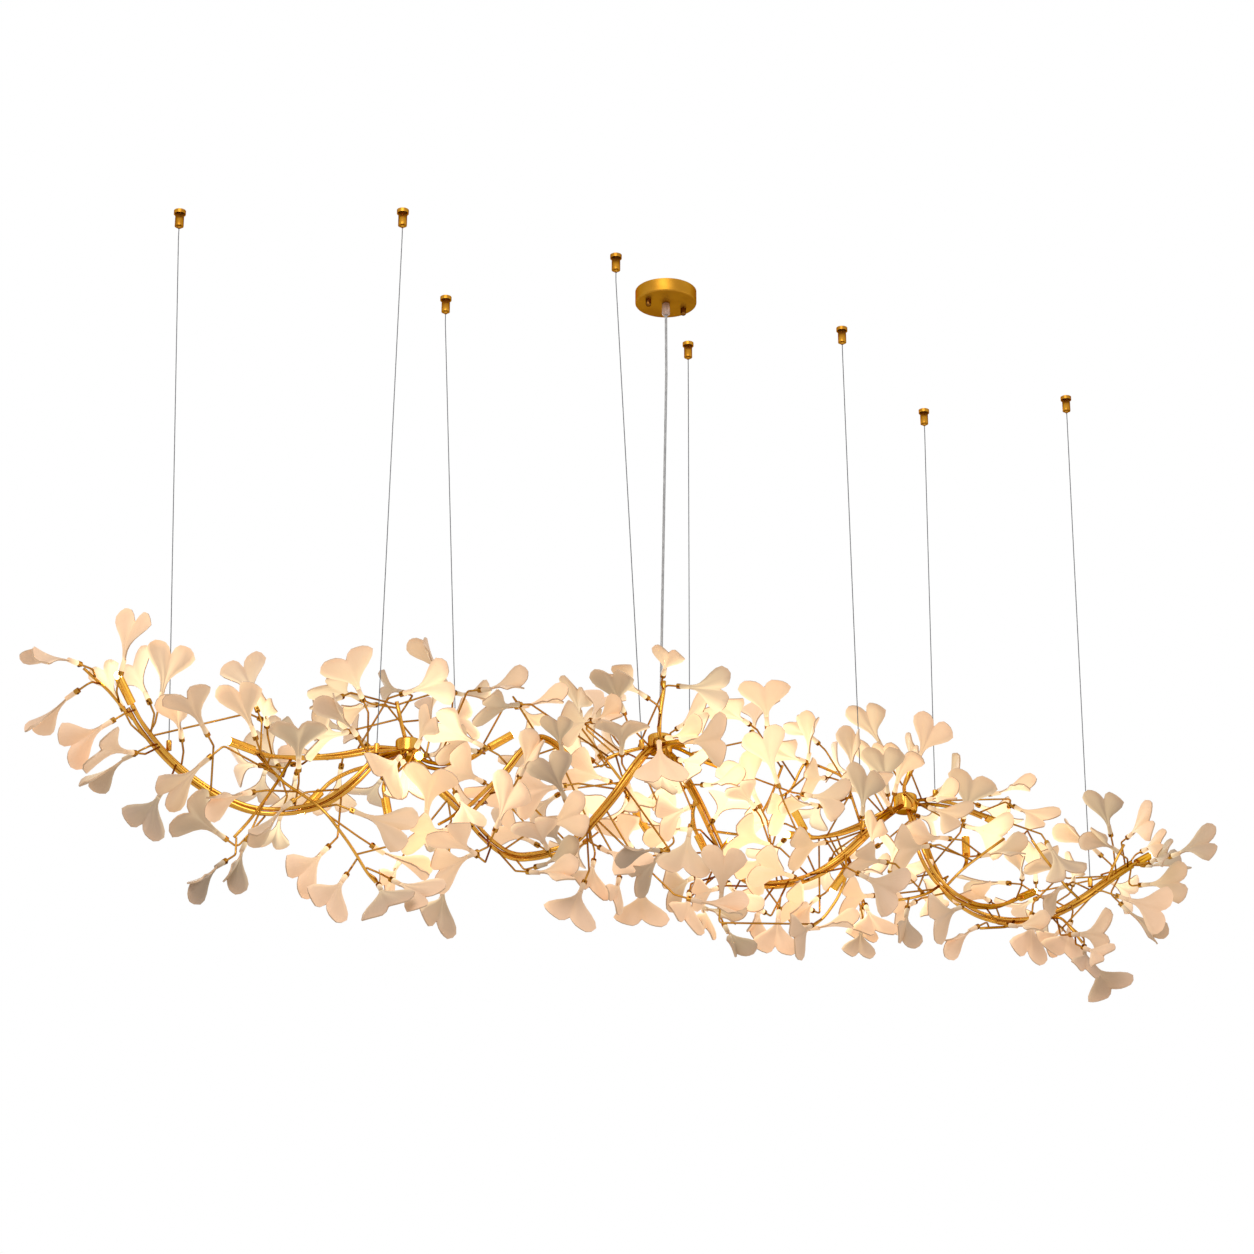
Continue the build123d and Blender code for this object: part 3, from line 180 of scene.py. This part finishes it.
def polished_copy(node, material, body):
    """A CAD piece with its seams merged and its round faces smooth."""
    piece = bpy.data.objects.new(node + "_polished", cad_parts[node].data.copy())
    bpy.context.collection.objects.link(piece)
    bpy.ops.object.select_all(action="DESELECT")
    piece.select_set(True)
    bpy.context.view_layer.objects.active = piece
    bpy.ops.object.mode_set(mode="EDIT")
    bpy.ops.mesh.select_all(action="SELECT")
    bpy.ops.mesh.remove_doubles(threshold=seam_gap)
    bpy.ops.object.mode_set(mode="OBJECT")
    bpy.ops.object.shade_smooth_by_angle(angle=round_below)
    piece.data.materials.clear()
    piece.data.materials.append(material)
    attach(piece, body)
    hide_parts(node)
    return piece


canopy_brass = worn_finish("canopy_brass", light=(0.51, 0.245, 0.025), dark=(0.43, 0.195, 0.0175),
                           metal=1.0, smooth=0.42, rough=0.52, size=22)
nut_bronze = worn_finish("nut_bronze", light=(0.225, 0.093, 0.017), dark=(0.15, 0.06, 0.01),
                         metal=1.0, smooth=0.2, rough=0.35, size=60)
zinc = worn_finish("zinc", light=(0.55, 0.56, 0.57), dark=(0.42, 0.43, 0.44),
                   metal=1.0, smooth=0.32, rough=0.5, size=40)
connector_white = worn_finish("connector_white", light=(0.78, 0.78, 0.75), dark=(0.70, 0.70, 0.67),
                              metal=0.0, smooth=0.4, rough=0.55, size=50)
grip_clear = worn_finish("grip_clear", light=(0.76, 0.56, 0.46), dark=(0.66, 0.47, 0.38),
                         metal=0.0, smooth=0.15, rough=0.28, size=60)
grip_clear.node_tree.nodes["Principled BSDF"].inputs["Transmission Weight"].default_value = 0.35
polished_copy("canopy_cover", canopy_brass, "canopy")
polished_copy("cap_nut_left", nut_bronze, "nut_left")
polished_copy("cap_nut_right", nut_bronze, "nut_right")
polished_copy("cord_grip", grip_clear, "canopy")
polished_copy("grip_nut", zinc, "canopy")
polished_copy("canopy_bracket", zinc, "ceiling")
polished_copy("canopy_studs", zinc, "ceiling")
polished_copy("terminal_block", connector_white, "ceiling")
polished_copy("terminal_screws", zinc, "ceiling")

# Cable grippers: turned brass caps screwed to the ceiling and barrels screwed into the caps.
# Each has a small plunger below, and steel balls inside that hold the cable. The spring
# above the plunger shortens as the plunger is pushed up.
gripper_brass = worn_finish("gripper_brass", light=(0.56, 0.265, 0.03), dark=(0.41, 0.175, 0.017),
                            metal=1.0, smooth=0.3, rough=0.42, size=45)
spring_steel = worn_finish("spring_steel", light=(0.48, 0.48, 0.49), dark=(0.36, 0.36, 0.37),
                           metal=1.0, smooth=0.25, rough=0.4, size=60)
polished_copy("ceiling_caps", gripper_brass, "ceiling")
polished_copy("gripper_barrels", gripper_brass, "ceiling")
polished_copy("gripper_balls", spring_steel, "ceiling")
gripper_count = 8
plunger_middles = []
for number in range(1, gripper_count + 1):
    plunger = polished_copy(f"gripper_nose_{number}", gripper_brass, f"nose_{number}")
    plunger_middles.append(np.mean([vertex.co for vertex in plunger.data.vertices], axis=0))
polished_copy("gripper_springs", spring_steel, "ceiling")
bpy.ops.object.mode_set(mode="EDIT")
bpy.ops.mesh.select_all(action="SELECT")
bpy.ops.mesh.separate(type="LOOSE")
bpy.ops.object.mode_set(mode="OBJECT")
for spring in list(bpy.context.selected_objects):
    points = np.array([vertex.co for vertex in spring.data.vertices])
    middle = points.mean(axis=0)
    aside = np.linalg.norm(np.array(plunger_middles)[:, :2] - middle[:2], axis=1)
    number = 1 + int(aside.argmin())
    spring.name = f"gripper_spring_{number}"
    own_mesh(spring)

# Suspension cables: thin stranded steel, pulled straight by the light's weight. Each comes
# straight down out of its gripper, slants a little and ends in a brass thimble on a stem.
cable_steel = worn_finish("cable_steel", light=(0.13, 0.13, 0.135), dark=(0.09, 0.09, 0.095),
                          metal=1.0, smooth=0.3, rough=0.45, size=200)
knee_run = 0.006
line_steps = 12
cable_width = 0.0015
cable_sides = 2
cable_top = -0.0073
cable_knee = -0.046
cable_ends = [
    ((-0.791, 0.142), (-0.75889, 0.14215, -0.86914)),
    ((-0.493, -0.033), (-0.50415, -0.02259, -0.87888)),
    ((-0.303, 0.196), (-0.27076, 0.18706, -0.78829)),
    ((-0.134, -0.07), (-0.05933, -0.02083, -0.79734)),
    ((0.128, 0.142), (0.11816, 0.13121, -0.77149)),
    ((0.322, -0.035), (0.33803, -0.02915, -0.86719)),
    ((0.629, 0.162), (0.6159, 0.15479, -0.72023)),
    ((0.814, -0.007), (0.81438, 0.00247, -0.88398)),
]


def taut_line(name, corners, width, material, sides):
    """A tube along a straight line with one soft knee, with the line's points and length."""
    top, knee, low = (Vector(corner) for corner in corners)
    above = knee + (top - knee).normalized() * knee_run
    below = knee + (low - knee).normalized() * knee_run
    curve = bpy.data.curves.new(name, "CURVE")
    curve.dimensions = "3D"
    spline = curve.splines.new("NURBS")
    route = [top, above, knee, below, low]
    spline.points.add(len(route) - 1)
    for point, corner in zip(spline.points, route):
        point.co = (*corner, 1)
    spline.order_u = 3
    spline.use_endpoint_u = True
    spline.resolution_u = line_steps
    line = bpy.data.objects.new(name, curve)
    bpy.context.collection.objects.link(line)
    bare = bpy.data.meshes.new_from_object(line)
    path = [tuple(vertex.co) for vertex in bare.vertices]
    bpy.data.meshes.remove(bare)
    curve.bevel_depth = width / 2
    curve.bevel_resolution = sides
    curve.use_fill_caps = True
    bpy.ops.object.select_all(action="DESELECT")
    line.select_set(True)
    bpy.context.view_layer.objects.active = line
    bpy.ops.object.convert(target="MESH")
    tube = bpy.context.object
    bpy.ops.object.shade_smooth()
    tube.data.materials.clear()
    tube.data.materials.append(material)
    length = sum((Vector(b) - Vector(a)).length for a, b in zip(path, path[1:]))
    return tube, path, length


for number, (gripper, thimble) in enumerate(cable_ends, 1):
    corners = [(*gripper, cable_top), (*gripper, cable_knee), thimble]
    cable, path, length = taut_line(f"cable_{number}", corners, cable_width, cable_steel, cable_sides)
    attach(cable, "ceiling")
    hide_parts(f"suspension_cable_{number}")
    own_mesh(cable)

# Power cord: a clear jacket over bright conductors, so it looks grey. It comes out of the
# clear grip under the canopy and goes straight down into the middle hub.
cord_jacket = worn_finish("cord_jacket", light=(0.37, 0.37, 0.38), dark=(0.28, 0.28, 0.29),
                          metal=0.0, smooth=0.12, rough=0.25, size=90)
cord_corners = [(0.0, 0.0, -0.0135), (0.0, 0.0, -0.15), (-0.0015, 0.022, -0.76387)]
cord_width = 0.0042
cord_sides = 4
power_cord, path, length = taut_line("power_cord_jacket", cord_corners, cord_width, cord_jacket,
                                     cord_sides)
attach(power_cord, "ceiling")
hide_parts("power_cord")
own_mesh(power_cord)

# Frame: bent brass tubes brazed into three turned hubs, with slimmer branches, a thin twig
# for each leaf, and a thimble for each cable. The stems have a bright gold finish; the twigs
# and collars get that gold darker, as painted shade.
stem_gold = worn_finish("stem_gold", light=(0.72, 0.38, 0.066), dark=(0.60, 0.30, 0.047),
                        metal=1.0, smooth=0.18, rough=0.28, size=20)
# Painted shade: the twigs and collars take a darker copy of the stem gold.
twig_gold_painted_shade = worn_finish("twig_gold_painted_shade", light=(0.55, 0.275, 0.046), dark=(0.43, 0.20, 0.03),
                        metal=1.0, smooth=0.22, rough=0.36, size=25)
for node in ("hub_left", "hub_middle", "hub_right",
             "arc_left", "arc_middle", "arc_right", "arc_end",
             "spray_left", "spray_middle", "spray_hub", "spray_right", "spray_end",
             "branches", "cable_anchors"):
    polished_copy(node, stem_gold, "light")
for node in ("twigs_left", "twigs_middle", "twigs_right", "twigs_end", "leaf_collars"):
    polished_copy(node, twig_gold_painted_shade, "light")
polished_copy("collar_screws", nut_bronze, "light")

# Lamps: a brass tube on the stem's end, a ceramic holder inside it and a clear capsule
# with a glowing stick, plugged in by its pins. The insulated leads run inside the stems.
holder_ceramic = worn_finish("holder_ceramic", light=(0.80, 0.77, 0.70), dark=(0.72, 0.68, 0.61),
                             metal=0.0, smooth=0.45, rough=0.6, size=80)
lead_sleeve = worn_finish("lead_sleeve", light=(0.70, 0.66, 0.58), dark=(0.62, 0.58, 0.50),
                          metal=0.0, smooth=0.5, rough=0.65, size=80)
capsule_glass = worn_finish("capsule_glass", light=(1.0, 0.92, 0.72), dark=(1.0, 0.88, 0.64),
                            metal=0.0, smooth=0.1, rough=0.2, size=50)
lamp_colour = (1.0, 0.82, 0.5, 1)
glass = capsule_glass.node_tree.nodes["Principled BSDF"]
glass.inputs["Transmission Weight"].default_value = 0.5
glass.inputs["Emission Color"].default_value = lamp_colour
glass.inputs["Emission Strength"].default_value = 6.0
stick_light = worn_finish("stick_light", light=(1.0, 0.9, 0.66), dark=(1.0, 0.86, 0.58),
                          metal=0.0, smooth=0.4, rough=0.5, size=80)
glowing = stick_light.node_tree.nodes["Principled BSDF"]
glowing.inputs["Emission Color"].default_value = lamp_colour
glowing.inputs["Emission Strength"].default_value = 7.0
# Painted light: the socket tubes take a brighter copy of the stem gold, as if lit by their lamps.
socket_gold_painted_lamplight = worn_finish("socket_gold_painted_lamplight", light=(0.90, 0.48, 0.076), dark=(0.78, 0.40, 0.057),
                          metal=1.0, smooth=0.2, rough=0.3, size=40)
polished_copy("socket_tubes", socket_gold_painted_lamplight, "light")
polished_copy("lampholders", holder_ceramic, "light")
polished_copy("bulb_globes", capsule_glass, "light")
polished_copy("bulb_sticks", stick_light, "light")
polished_copy("bulb_pins", zinc, "light")
polished_copy("lamp_leads", lead_sleeve, "light")

# Leaves: thin bisque porcelain fans with two lobes, fine veins and a tan fired rim. Each is
# glued on a twig's pin and held by a collar, and the collar's screw shows which way it
# faces. The glow of the near lamps is painted on each leaf as emission and shows through it
# as painted backlight. Each leaf also gets painted shade, a taupe to peach tone spread at
# random, and a painted highlight that pales it towards its tip.
porcelain = bpy.data.materials.new("porcelain")
porcelain.use_nodes = True
tree = porcelain.node_tree
shader = tree.nodes["Principled BSDF"]
shader.inputs["Roughness"].default_value = 0.5
shader.inputs["Specular IOR Level"].default_value = 0.35
shader.inputs["Emission Strength"].default_value = 1.0
paint = tree.nodes.new("ShaderNodeAttribute")
paint.attribute_name = "painted_light_and_shade"
parted = tree.nodes.new("ShaderNodeSeparateColor")
tree.links.new(paint.outputs["Color"], parted.inputs["Color"])
# Painted shade and light: the green channel mixes the leaf colour from a shaded taupe to a lit peach.
clay_shaded_to_lit = tree.nodes.new("ShaderNodeMix")
clay_shaded_to_lit.data_type = "RGBA"
clay_shaded_to_lit.inputs["A"].default_value = (0.27, 0.205, 0.168, 1)
clay_shaded_to_lit.inputs["B"].default_value = (0.84, 0.575, 0.41, 1)
tree.links.new(parted.outputs["Green"], clay_shaded_to_lit.inputs["Factor"])
marks = tree.nodes.new("ShaderNodeGroup")
marks.node_tree = handling
marks.inputs["Size"].default_value = 55
speckle = tree.nodes.new("ShaderNodeMix")
speckle.data_type = "RGBA"
speckle.blend_type = "MULTIPLY"
speckle.inputs["B"].default_value = (0.92, 0.88, 0.84, 1)
tree.links.new(marks.outputs["Marks"], speckle.inputs["Factor"])
tree.links.new(clay_shaded_to_lit.outputs["Result"], speckle.inputs["A"])
tree.links.new(speckle.outputs["Result"], shader.inputs["Base Color"])
# Painted lamp light: the glow of the near lamps, and the light through the leaf from behind, are
# painted in as emission.
glow = tree.nodes.new("ShaderNodeMix")
glow.data_type = "RGBA"
glow.inputs["A"].default_value = (0, 0, 0, 1)
glow.inputs["B"].default_value = (1.0, 0.80, 0.47, 1)
tree.links.new(parted.outputs["Red"], glow.inputs["Factor"])
through = tree.nodes.new("ShaderNodeMix")
through.data_type = "RGBA"
through.blend_type = "ADD"
through.inputs["B"].default_value = (0.55, 0.29, 0.11, 1)
tree.links.new(parted.outputs["Blue"], through.inputs["Factor"])
tree.links.new(glow.outputs["Result"], through.inputs["A"])
tree.links.new(through.outputs["Result"], shader.inputs["Emission Color"])
layout = tree.nodes.new("ShaderNodeUVMap")
layout.uv_map = "UVMap"
veins = tree.nodes.new("ShaderNodeTexWave")
veins.inputs["Scale"].default_value = 5.0
veins.inputs["Distortion"].default_value = 0.6
tree.links.new(layout.outputs["UV"], veins.inputs["Vector"])
ridges = tree.nodes.new("ShaderNodeBump")
ridges.inputs["Strength"].default_value = 0.12
ridges.inputs["Distance"].default_value = 0.0006
tree.links.new(veins.outputs["Fac"], ridges.inputs["Height"])
tree.links.new(ridges.outputs["Normal"], shader.inputs["Normal"])
fired_rim = worn_finish("fired_rim", light=(0.68, 0.46, 0.29), dark=(0.57, 0.37, 0.22),
                        metal=0.0, smooth=0.35, rough=0.5, size=60)

neck_length = 0.015
neck_overlap = 0.002
neck_foot, neck_tip = 0.004, 0.0033
leaf_wall = 0.0024
fold_round = 0.004
bow_height = 0.0045
edge_droop = 0.0052
wave_height, wave_run = 0.0024, 6.5
lobe_columns, leaf_rows = 6, 7
across_edge = [0.0, 0.12, 0.30, 0.51, 0.72, 0.90, 1.0]
along_edge = [None, 0.915, 0.99, 1.0, 0.985, 0.91, 0.79]
side_shares = [0.081, 0.09, 0.13, 0.235, 0.42, 0.67, 0.89, 1.0]


def islands(node):
    """The separate solids of a CAD node, each as its corner points."""
    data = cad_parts[node].data
    points = np.array([vertex.co for vertex in data.vertices], float)
    _, first, same = np.unique(np.round(points, 6), axis=0, return_index=True, return_inverse=True)
    same = same.reshape(-1)
    owner = np.arange(len(first))
    edges = np.array([edge.vertices for edge in data.edges])
    pairs = same[edges]
    while True:
        low = np.minimum(owner[pairs[:, 0]], owner[pairs[:, 1]])
        fresh = owner.copy()
        np.minimum.at(fresh, pairs[:, 0], low)
        np.minimum.at(fresh, pairs[:, 1], low)
        fresh = fresh[fresh]
        if (fresh == owner).all():
            break
        owner = fresh
    return [points[first[owner == label]] for label in np.unique(owner)]


def leaf_blade(name, length, half_width, notch, fold):
    """One leaf at the origin: a shaped grid with a wall, and a round neck."""
    bpy.ops.object.select_all(action="DESELECT")
    bpy.ops.mesh.primitive_grid_add(x_subdivisions=2 * lobe_columns, y_subdivisions=leaf_rows, size=2)
    blade = bpy.context.object
    blade.name = name
    fan = length - neck_length
    for vertex in blade.data.vertices:
        column = round(abs(vertex.co.x) * lobe_columns)
        share = (vertex.co.y + 1) / 2
        reach = (length - notch - neck_length) / fan if column == 0 else along_edge[column]
        side = side_shares[round(share * leaf_rows)]
        x = neck_length - neck_overlap + (fan * reach + neck_overlap) * share
        y = across_edge[column] * half_width * side
        rise = math.sqrt(y * y + fold_round ** 2) - fold_round
        wave = wave_height * math.sin(vertex.co.x * wave_run) * share ** 2
        droop = edge_droop * (column / lobe_columns) ** 2 * share ** 2
        bow = bow_height * math.sin(math.pi * share) - droop + wave
        vertex.co = (x, math.copysign(y * math.cos(fold), vertex.co.x), rise * math.sin(fold) + bow)
    blade.data.materials.append(porcelain)
    blade.data.materials.append(fired_rim)
    wall = blade.modifiers.new("wall", "SOLIDIFY")
    wall.thickness = leaf_wall
    wall.offset = 0
    wall.material_offset_rim = 1
    bpy.ops.object.modifier_apply(modifier="wall")
    neck_depth = neck_length + neck_overlap
    bpy.ops.mesh.primitive_cone_add(vertices=10, radius1=neck_foot, radius2=neck_tip, depth=neck_depth,
                                    location=(neck_depth / 2, 0, 0),
                                    rotation=(0, math.radians(90), 0))
    neck = bpy.context.object
    bpy.ops.object.transform_apply(location=True, rotation=True, scale=True)
    neck.data.materials.append(porcelain)
    blade.select_set(True)
    bpy.context.view_layer.objects.active = blade
    bpy.ops.object.join()
    bpy.ops.object.mode_set(mode="EDIT")
    bpy.ops.mesh.select_all(action="SELECT")
    bpy.ops.mesh.normals_make_consistent(inside=False)
    bpy.ops.object.mode_set(mode="OBJECT")
    bpy.ops.object.shade_smooth_by_angle(angle=math.radians(50))
    return blade


lamp_middles = np.array([capsule.mean(axis=0) for capsule in islands("bulb_globes")])
screws = np.array([screw.mean(axis=0) for screw in islands("collar_screws")])
collars = np.array([collar.mean(axis=0) for collar in islands("leaf_collars")])
collar_middle = 0.0035
screw_height = 0.0041
tip_points = 4
most_curl, most_twist = 0.0040, 0.09
glow_reach = 0.10
glow_gain, glow_all_round = 2.4, 0.1
through_gain = 1.3
painted_shade_lift = 0.75
tip_highlight, tip_highlight_middle = 0.5, 0.6
leaf_sizes = {"open": (0.090, 0.037, 0.017, 14), "broad": (0.084, 0.042, 0.013, 7),
              "folded": (0.088, 0.038, 0.015, 48), "small": (0.070, 0.027, 0.011, 14)}
for kind, (length, half_width, notch, fold) in leaf_sizes.items():
    pattern = leaf_blade(f"{kind}_pattern", length, half_width, notch, math.radians(fold))
    copies = []
    for solid in islands(f"leaves_{kind}"):
        nearest = np.linalg.norm(solid[None, :, :] - screws[:, None, :], axis=2).min(axis=1)
        screw = screws[nearest.argmin()]
        collar = collars[np.linalg.norm(collars - screw, axis=1).argmin()]
        face = Vector(screw - collar).normalized()
        outward = np.argsort(np.linalg.norm(solid - screw, axis=1))
        along = Vector(solid[outward[-tip_points:]].mean(axis=0) - collar)
        along = (along - face * along.dot(face)).normalized()
        foot = Vector(screw) - face * screw_height + along * collar_middle
        side = face.cross(along)
        turn = Matrix((along, side, face)).transposed().to_4x4()
        leaf = bpy.data.objects.new(f"{kind}_leaf", pattern.data.copy())
        bpy.context.collection.objects.link(leaf)
        curl = most_curl * math.sin(53.0 * foot.x + 71.0 * foot.y)
        twist = most_twist * math.sin(67.0 * foot.z + 39.0 * foot.x)
        shares = np.zeros(len(leaf.data.vertices))
        for vertex in leaf.data.vertices:
            share = max(vertex.co.x - neck_length, 0) / (length - neck_length)
            vertex.co.z += curl * share ** 2 + twist * vertex.co.y * share
            shares[vertex.index] = share
        leaf.data.transform(Matrix.Translation(foot) @ turn)
        points = np.array([vertex.co for vertex in leaf.data.vertices])
        normals = np.array([vertex.normal for vertex in leaf.data.vertices])
        # Painted lamp light: each point's glow comes from its distance to the lamps and which way it
        # faces them.
        rays = lamp_middles[None, :, :] - points[:, None, :]
        gaps = np.linalg.norm(rays, axis=2)
        toward = (rays * normals[:, None, :]).sum(axis=2) / gaps
        near = 1.0 / (1.0 + (gaps / glow_reach) ** 2) ** 1.5
        lit = near * (glow_all_round + (1 - glow_all_round) * np.clip(toward, 0, 1))
        lit_behind = near * np.clip(-toward, 0, 1)
        # Painted shade at random per leaf, and a painted highlight that pales each leaf towards its
        # tip.
        painted_shade_tone = (0.5 + 0.5 * math.sin(91.7 * foot.x + 57.3 * foot.z)) ** painted_shade_lift
        layer = leaf.data.color_attributes.new("painted_light_and_shade", "FLOAT_COLOR", "POINT")
        values = np.ones((len(points), 4), np.float32)
        values[:, 0] = np.clip(glow_gain * lit.sum(axis=1), 0, 1)
        values[:, 1] = np.clip(painted_shade_tone + tip_highlight * (shares - tip_highlight_middle), 0, 1)
        values[:, 2] = np.clip(through_gain * lit_behind.sum(axis=1), 0, 1)
        layer.data.foreach_set("color", values.ravel())
        copies.append(leaf)
    bpy.ops.object.select_all(action="DESELECT")
    for leaf in copies:
        leaf.select_set(True)
    bpy.context.view_layer.objects.active = copies[0]
    bpy.ops.object.join()
    spray = bpy.context.object
    spray.name = f"porcelain_{kind}"
    bpy.data.objects.remove(pattern)
    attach(spray, "light")
    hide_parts(f"leaves_{kind}")
